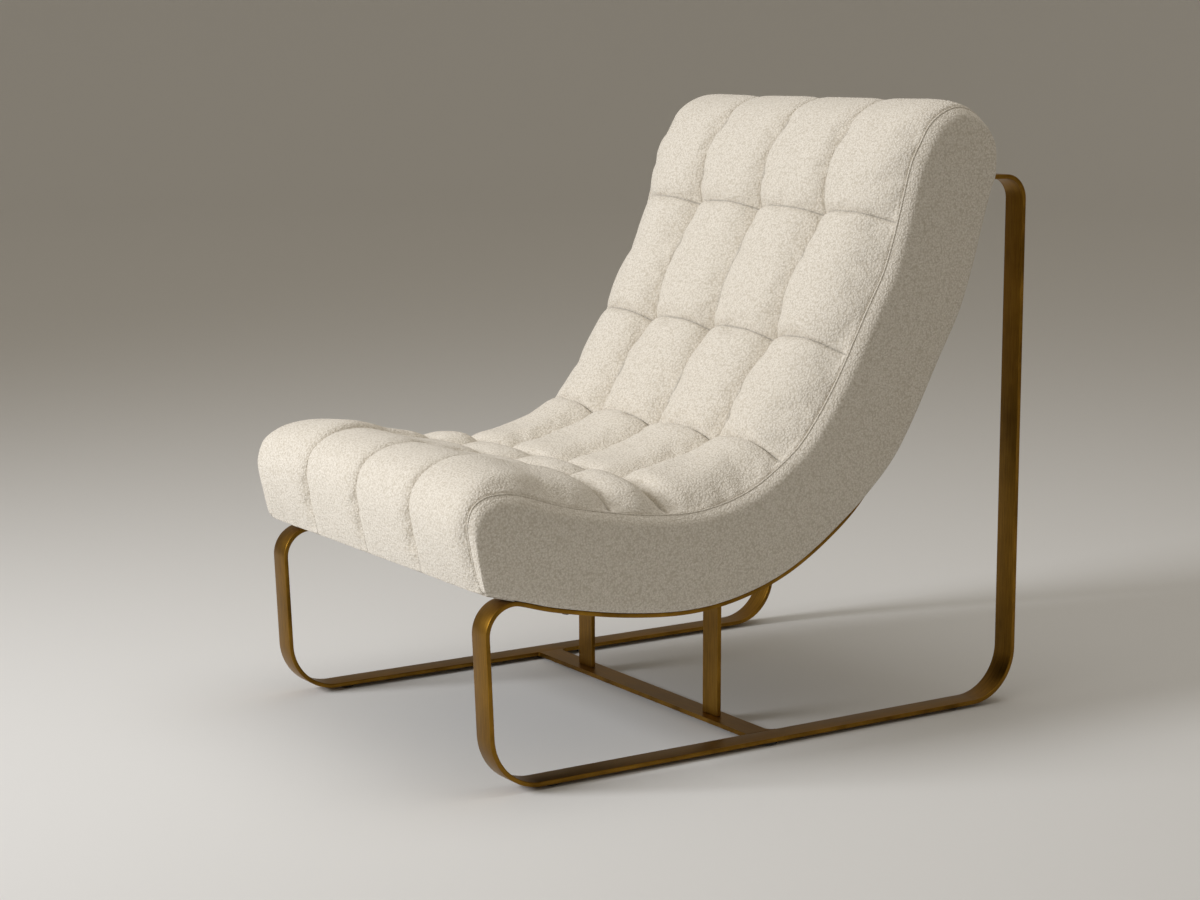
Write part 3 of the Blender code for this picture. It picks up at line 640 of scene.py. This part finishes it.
def fill_out(obj, held, cap):
    """Blows a soft piece up as cloth with its seams held, and keeps the result."""
    start = np.empty(len(obj.data.vertices) * 3)
    obj.data.vertices.foreach_get("co", start)
    group = obj.vertex_groups.new(name="seams")
    group.add([int(i) for i in held], 1.0, "REPLACE")
    cloth = obj.modifiers.new("filling", "CLOTH")
    cloth.settings.vertex_group_mass = "seams"
    cloth.settings.quality = 6
    cloth.settings.use_pressure = True
    cloth.settings.uniform_pressure_force = 4.0
    cloth.settings.tension_stiffness = 12.0
    cloth.settings.compression_stiffness = 12.0
    cloth.settings.shear_stiffness = 6.0
    cloth.settings.bending_stiffness = 0.8
    cloth.settings.shrink_min = -0.03
    cloth.settings.effector_weights.gravity = 0.0
    cloth.point_cache.frame_start = 1
    cloth.point_cache.frame_end = 20
    for step in range(1, cloth.point_cache.frame_end + 1):
        bpy.context.scene.frame_set(step)
    apply_modifiers(obj)
    obj.vertex_groups.clear()
    bpy.context.scene.frame_set(1)
    moved = np.empty(len(start))
    obj.data.vertices.foreach_get("co", moved)
    shift = (moved - start).reshape(-1, 3)
    far = np.linalg.norm(shift, axis=1, keepdims=True)
    cap = cap.reshape(-1, 1)
    shift *= cap * np.tanh(far / cap) / np.maximum(far, 1e-9)
    obj.data.vertices.foreach_set("co", start + shift.ravel())
    obj.data.update()


def mark_seams(made, count, columns, on_row, on_column):
    """Marks the top's seams on the mesh: sharper edges, and the points that get painted shade along the
    seams.
    """
    ends = np.empty(len(made.data.edges) * 2, dtype=np.int32)
    made.data.edges.foreach_get("vertices", ends)
    row, place = np.divmod(ends.reshape(-1, 2), count)
    top = (place < len(columns)).all(axis=1)
    spot = np.minimum(place, len(columns) - 1)
    along_row = on_row[row].all(axis=1) & (row[:, 0] == row[:, 1])
    along_column = on_column[spot].all(axis=1) & (spot[:, 0] == spot[:, 1])
    sharp = made.data.attributes.new("crease_edge", "FLOAT", "EDGE")
    weight = np.where(top & (along_row | along_column), SEAM_SHARPNESS, 0.0)
    sharp.data.foreach_set("value", weight.astype(np.float32))
    # Painted shade: the seam points carry a layer that darkens the pile in the creases
    seam_shade_layer = made.data.attributes.new("seam_line", "FLOAT", "POINT")
    seam_shade_points = np.zeros((len(on_row), count), np.float32)
    inner_column = on_column & (columns > 0.5) & (columns < COLUMNS - 0.5)
    seam_shade_points[:, :len(columns)] = on_row[:, None] | inner_column[None, :]
    seam_shade_layer.data.foreach_set("value", seam_shade_points.ravel())


def tufted_cushion():
    rings, stations, columns = cushion_rows(START_FULLNESS)
    rows, count = rings.shape[:2]
    made = piece("tufted_cushion", rings.reshape(-1, 3), ring_faces(rows, count), [boucle])
    on_row = np.isclose(stations[:, None], np.array(seam_row_shares)[None, :] * visible.length).any(axis=1)
    on_column = np.isclose(columns, np.round(columns))
    free = (~on_row)[:, None] & (~on_column)[None, :]
    free[0] = free[-1] = False
    held = np.ones((rows, count), bool)
    held[:, :len(columns)] = ~free
    looseness = LEAST_FILLING + (1 - LEAST_FILLING) * share(tuft_shares, stations / visible.length)
    fill_out(made, np.flatnonzero(held.ravel()), np.repeat(FILLING_CAP * looseness, count))
    mark_seams(made, count, columns, on_row, on_column)
    return subdivide(made)


cushion = tufted_cushion()
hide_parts("tufted_pad")
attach(cushion, "root")


# Side borders with their rolled edges, and the piping between them and the cushion
def border_base():
    """The border's lower edge: on the rail under the seat, out past the rail up the back."""
    at = np.linspace(0.0, LIP_END, BORDER_BASE_POINTS)
    grown = sling.at(at)[:, 1] - FRONT_BEND_HEIGHT
    part = np.clip((grown - PANEL_GROW_RISE) / (COVER_START_RISE - PANEL_GROW_RISE), 0, 1)
    part = np.where(at > SHELL_END / 2, part * part * (3 - 2 * part), 0.0)
    return Line(sling.beside(at, GAP + (COVER_RISE - COVER_THICKNESS - GAP) * part))


def border_bulge(across, ends):
    """How far the border's outer face stands out: rolled at the top, swelled, tucked in at the bottom."""
    rolled = np.sin(np.pi / 2 * np.clip(across / BORDER_ROLL, 0, 1))
    tucked = 1 - np.sqrt(1 - nearness(1 - across, BORDER_TUCK) ** 2)
    swell = np.sin(np.pi * across) ** BORDER_SWELL_POWER
    edge = HALF + GAP - SEAM_INSET + BORDER_EDGE + (SEAM_INSET + PANEL_THICKNESS - BORDER_EDGE) * rolled
    return (edge - (PANEL_THICKNESS - BORDER_EDGE) * tucked)[None, :] + PANEL_CROWN * swell[None, :] * ends


def side_border(side, sign):
    base = border_base()
    seen, low = matched(base, WELT_DROP)
    stations = np.linspace(WELT_DROP, visible.length - WELT_DROP, BORDER_ROWS)
    top = visible.beside(stations, np.full(len(stations), -BORDER_TOP_DROP))
    bottom = base.at(np.interp(stations, seen, low))
    across = 0.5 - 0.5 * np.cos(np.pi * np.linspace(0, 1, BORDER_COLUMNS))
    ends = np.clip(np.minimum(stations, visible.length - stations) / BORDER_END_EASE, 0, 1)[:, None]
    hidden = np.broadcast_to(HALF + GAP - SEAM_INSET * (1 - across), (len(stations), len(across)))
    face = top[:, None, :] * (1 - across)[None, :, None] + bottom[:, None, :] * across[None, :, None]
    outer = world(sign * border_bulge(across, ends), face)
    inner = world(sign * hidden, face)
    rings = np.concatenate([outer, inner[:, ::-1]], axis=1)
    rows, count = rings.shape[:2]
    made = piece(side + "_border", rings.reshape(-1, 3), ring_faces(rows, count), [boucle])
    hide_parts(side + "_side_panel")
    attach(made, "root")


def side_piping(side, sign):
    stations = np.linspace(WELT_DROP, visible.length - WELT_DROP, PIPING_ROWS)
    middle = visible.beside(stations, np.full(len(stations), -PIPING_DROP))
    across = to_the_left(visible.way(stations))
    turn = np.linspace(0, 2 * np.pi, PIPING_SIDES, endpoint=False)
    radius = (PIPING_RADIUS * (1 + PIPING_UNEVENNESS * np.sin(stations * PIPING_TWIST)))[:, None]
    x = sign * (HALF + GAP - SEAM_INSET + PIPING_OUT) + radius * np.cos(turn)[None, :]
    ring = middle[:, None, :] + across[:, None, :] * (radius * np.sin(turn)[None, :])[:, :, None]
    faces = ring_faces(PIPING_ROWS, PIPING_SIDES)
    made = piece(side + "_piping", world(x, ring).reshape(-1, 3), faces, [piping])
    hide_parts(side + "_welt")
    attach(made, "root")


for side, sign in (("left", -1), ("right", 1)):
    side_border(side, sign)
    side_piping(side, sign)


# Cover on the outside of the back, open where the frame comes through, and the cloths under the seat
def strip_faces(kept, count):
    """Both faces of a sheet's kept cells, and its thickness where a cell has no neighbour."""
    faces = []
    size = (kept.shape[0] + 1) * count
    walled = np.pad(kept, 1)
    for r, c in np.argwhere(kept).tolist():
        corners = (r * count + c, r * count + c + 1, (r + 1) * count + c + 1, (r + 1) * count + c)
        faces.append(corners)
        faces.append(tuple(size + i for i in reversed(corners)))
        for i, (down, along) in enumerate(((-1, 0), (0, 1), (1, 0), (0, -1))):
            if not walled[r + 1 + down, c + 1 + along]:
                a, b = corners[i], corners[(i + 1) % 4]
                faces.append((b, a, a + size, b + size))
    return faces


def strip(name, stations, columns, rise, thickness, skin, swell=0.0, leave_out=None):
    """A sheet laid along the sling, thickened away from it."""
    base = sling.beside(stations, np.full(len(stations), rise))
    away = -to_the_left(sling.way(stations))
    along = nearness(np.minimum(stations - stations[0], stations[-1] - stations), COVER_EDGE_EASE)[:, None]
    aside = nearness(columns[-1] - np.abs(columns), COVER_EDGE_EASE)[None, :]
    depth = thickness - swell + swell * np.sqrt(1 - along ** 2) * np.sqrt(1 - aside ** 2)
    rows, count = depth.shape
    near = world(columns, np.repeat(base[:, None, :], count, axis=1)).reshape(-1, 3)
    far = world(columns, base[:, None, :] + away[:, None, :] * depth[:, :, None]).reshape(-1, 3)
    kept = np.ones((rows - 1, count - 1), bool)
    if leave_out is not None:
        middle = (stations[:-1] + stations[1:]) / 2
        aside_middle = np.abs(columns[:-1] + columns[1:]) / 2
        kept = ~leave_out(middle[:, None], aside_middle[None, :])
    made = piece(name, np.vstack([near, far]), strip_faces(kept, count), [skin])
    bm = bmesh.new()
    bm.from_mesh(made.data)
    bmesh.ops.delete(bm, geom=[v for v in bm.verts if not v.link_faces], context="VERTS")
    bm.to_mesh(made.data)
    bm.free()
    return made


def run_through(stops, counts):
    """Places from stop to stop, so many for each stretch, with the last stop among them."""
    parts = [np.linspace(a, b, n, endpoint=b == stops[-1]) for a, b, n in zip(stops, stops[1:], counts)]
    return np.concatenate(parts)


cover_at = float(sling.marks[sling.points[:, 1] > FRONT_BEND_HEIGHT + COVER_START_RISE][0])
notch_low = float(np.interp(turn_centre[1], sling.points[:, 1], sling.marks))
notch_high = notch_low + NOTCH_LENGTH
inner = RUNNER_INNER - 2 * GAP
edge = HALF - GAP
cover_rows = run_through((cover_at, notch_low, notch_high, LIP_END - GAP), COVER_ROWS)
cover_columns = run_through((-edge, -inner, inner, edge), COVER_COLUMNS)
back = strip("outside_back", cover_rows, cover_columns, COVER_RISE, COVER_THICKNESS, boucle, COVER_SWELL,
             lambda d, x: (d > notch_low) & (d < notch_high) & (x > inner))
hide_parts("outside_back_cover")
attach(back, "root")

wrap_start, wrap_end = FRONT_LIP - WRAP_START_BEFORE_LIP, RAIL_START - WRAP_END_BEFORE_RAIL
wrap = strip("front_wrap", np.linspace(wrap_start, wrap_end, WRAP_POINTS[0]),
             np.linspace(-edge, edge, WRAP_POINTS[1]), 0.0, DUST_CLOTH_THICKNESS, boucle)
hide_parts("dust_cover")
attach(wrap, "root")

cloth_half = RUNNER_INNER - CLOTH_EDGE_EASE
cloth_start = wrap_end + GAP
cloth = strip("under_seat_cloth", np.linspace(cloth_start, cover_at, CLOTH_POINTS[0]),
              np.linspace(-cloth_half, cloth_half, CLOTH_POINTS[1]), 0.0, DUST_CLOTH_THICKNESS, cambric)
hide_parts("dust_cover")
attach(cloth, "root")


# Side frames: one closed flat bar each, with eased edges
def side_frame_line():
    foot_height = RUNNER_CLEARANCE + LOWER_BEND_RADIUS
    lean = math.atan(FRONT_RISER_LEAN / (bend_centre[1] - foot_height))
    face = bend_centre - FRONT_TOP_RADIUS * np.array([math.cos(lean), math.sin(lean)])
    foot = face[0] + (LOWER_BEND_RADIUS + math.sin(lean) * (face[1] - foot_height)) / math.cos(lean)
    rear_top = (FRAME_DEPTH - REAR_TOP_RADIUS, FRAME_HEIGHT - REAR_TOP_RADIUS)
    runs = [sling.at(np.linspace(RAIL_START, RAIL_END, RAIL_POINTS)),
            arc(turn_centre, TURN_RADIUS, turn_start, 90, steps=20)[1:],
            arc(rear_top, REAR_TOP_RADIUS, 90, 0, steps=24),
            arc((FRAME_DEPTH - LOWER_BEND_RADIUS, foot_height), LOWER_BEND_RADIUS, 0, -90, steps=32),
            arc((foot, foot_height), LOWER_BEND_RADIUS, -90, math.degrees(lean) - 180, steps=32),
            arc(bend_centre, FRONT_TOP_RADIUS, 180 + math.degrees(lean), leave, steps=26)[:-1]]
    return np.vstack(runs)


def eased_section(width, thickness, radius, steps=3):
    """A flat bar's outline as (across, inward) pairs, corners eased."""
    side = width / 2 - radius
    corners = ((side, radius, -90), (side, thickness - radius, 0),
               (-side, thickness - radius, 90), (-side, radius, 180))
    return np.vstack([arc((cx, cy), radius, start, start + 90, steps) for cx, cy, start in corners])


def side_frame(side, sign):
    line = side_frame_line()
    way = unit(np.roll(line, -1, axis=0) - np.roll(line, 1, axis=0))
    inward = -to_the_left(way)
    section = eased_section(BAR_WIDTH, BAR_THICKNESS, BAR_EDGE_RADIUS)
    ring = line[:, None, :] + inward[:, None, :] * section[None, :, 1, None]
    x = sign * (HALF - BAR_WIDTH / 2) + section[:, 0]
    faces = ring_faces(len(line), len(section), closed_rows=True)
    made = piece(side + "_frame", world(x, ring).reshape(-1, 3), faces, [brass_long])
    made.data.set_sharp_from_angle(angle=BAR_SHARP_ANGLE)
    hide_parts(side + "_side_loop", side + "_sling_rail")
    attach(made, "root")


def middle_glide(side):
    """A wide, low glide under the runner where the cross bar meets it."""
    low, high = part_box(side + "_middle_glide")
    centre = (low + high) / 2
    top = RUNNER_CLEARANCE - GAP
    inner_radius = MIDDLE_GLIDE_RADIUS - GLIDE_EDGE
    profile = ((inner_radius, top), (MIDDLE_GLIDE_RADIUS, top - GLIDE_EDGE),
               (MIDDLE_GLIDE_RADIUS, GLIDE_EDGE), (inner_radius, 0.0))
    turn = np.linspace(0, 2 * np.pi, GLIDE_SIDES, endpoint=False)
    verts = [(centre.x + r * math.cos(a), centre.y + r * math.sin(a), z) for r, z in profile for a in turn]
    faces = ring_faces(len(profile), GLIDE_SIDES, caps=False)
    faces += [tuple(range(GLIDE_SIDES)), tuple(range(len(verts) - GLIDE_SIDES, len(verts)))]
    made = piece(side + "_middle_foot", verts, faces, [nylon])
    made.data.set_sharp_from_angle(angle=GLIDE_SHARP_ANGLE)
    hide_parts(side + "_middle_glide")
    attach(made, "root")


for side, sign in (("left", -1), ("right", 1)):
    side_frame(side, sign)
    middle_glide(side)

# The solids that stay in the scene get their finish, by the first word found in their name
solid_finishes = {"bolt": bolt_steel, "cross_bar": brass_cross, "post": brass_long, "glide": nylon,
                  "seat_shell": plywood}
for name, node in frame["nodes"].items():
    skin = next((finish for word, finish in solid_finishes.items() if word in name), None)
    if skin is not None:
        for slot in node.material_slots:
            slot.material = skin

# Floor with a backdrop that curves up all round
FLOOR_TONE = (0.77, 0.775, 0.775)
FLOOR_RIMS = (0.5, 1.5, 3.0, 6.0, 9.0)
BACKDROP_START = 12.0
BACKDROP_RADIUS = 5.0
BACKDROP_TOP = 8.0
FLOOR_SIDES = 96

sweep = np.vstack([[(r, 0.0) for r in FLOOR_RIMS],
                   arc((BACKDROP_START, BACKDROP_RADIUS), BACKDROP_RADIUS, -90, 0, steps=24),
                   [(BACKDROP_START + BACKDROP_RADIUS, BACKDROP_TOP)]])
round_turns = np.linspace(0, 2 * np.pi, FLOOR_SIDES, endpoint=False)
floor_verts = [(r * math.cos(a), r * math.sin(a), z) for r, z in sweep for a in round_turns]
floor_faces = ring_faces(len(sweep), FLOOR_SIDES, caps=False) + [tuple(range(FLOOR_SIDES))]
floor = piece("floor", floor_verts, floor_faces, [Finish("pale_floor", FLOOR_TONE, 0.85).material])

# Warm room light, a broad key light from the front and a wide one above
ROOM_TONE = (1.0, 0.89, 0.73, 1.0)
ROOM_STRENGTH = 0.32

world_light = bpy.data.worlds.new("soft_room")
bpy.context.scene.world = world_light
world_light.use_nodes = True
sky = world_light.node_tree.nodes["Background"]
sky.inputs["Color"].default_value = ROOM_TONE
sky.inputs["Strength"].default_value = ROOM_STRENGTH


def lamp(name, place, aim, size, power, tone, spread=180.0):
    light = bpy.data.lights.new(name, "AREA")
    light.size = size
    light.energy = power
    light.color = tone
    light.spread = math.radians(spread)
    obj = bpy.data.objects.new(name, light)
    bpy.context.scene.collection.objects.link(obj)
    obj.location = place
    way = [a - b for a, b in zip(aim, place)]
    obj.rotation_euler = Vector(way).to_track_quat("-Z", "Y").to_euler()


lamp("key_light", (-0.8, -4.1, 2.3), aim=(0, 0, 0.45), size=1.5, power=50.0, tone=(0.985, 0.985, 1.0),
     spread=100.0)
lamp("top_light", (0.2, 0.4, 3.6), aim=(0, 0, 0.4), size=2.6, power=24.0, tone=(1.0, 0.99, 0.97))

# Camera, with its depth counted from the front riser's face and its turns in the order in which they multiply
CAMERA_PLACE = (3.0014, -1.5299, 0.9734)
CAMERA_TURNS = ((57.467, "Z"), (80.689, "X"), (-0.142, "Z"))
CAMERA_LENS = 72.66
SENSOR_WIDTH = 36.0

camera_data = bpy.data.cameras.new("camera")
camera_data.sensor_fit = "HORIZONTAL"
camera_data.sensor_width = SENSOR_WIDTH
camera_data.lens = CAMERA_LENS
camera = bpy.data.objects.new("camera", camera_data)
bpy.context.scene.collection.objects.link(camera)
camera.location = (CAMERA_PLACE[0], CAMERA_PLACE[1] - SHIFT, CAMERA_PLACE[2])
turned, tilted, rolled = [Matrix.Rotation(math.radians(angle), 3, axis) for angle, axis in CAMERA_TURNS]
camera.rotation_euler = (turned @ tilted @ rolled).to_euler()
bpy.context.scene.camera = camera
bpy.context.scene.view_settings.view_transform = "Standard"
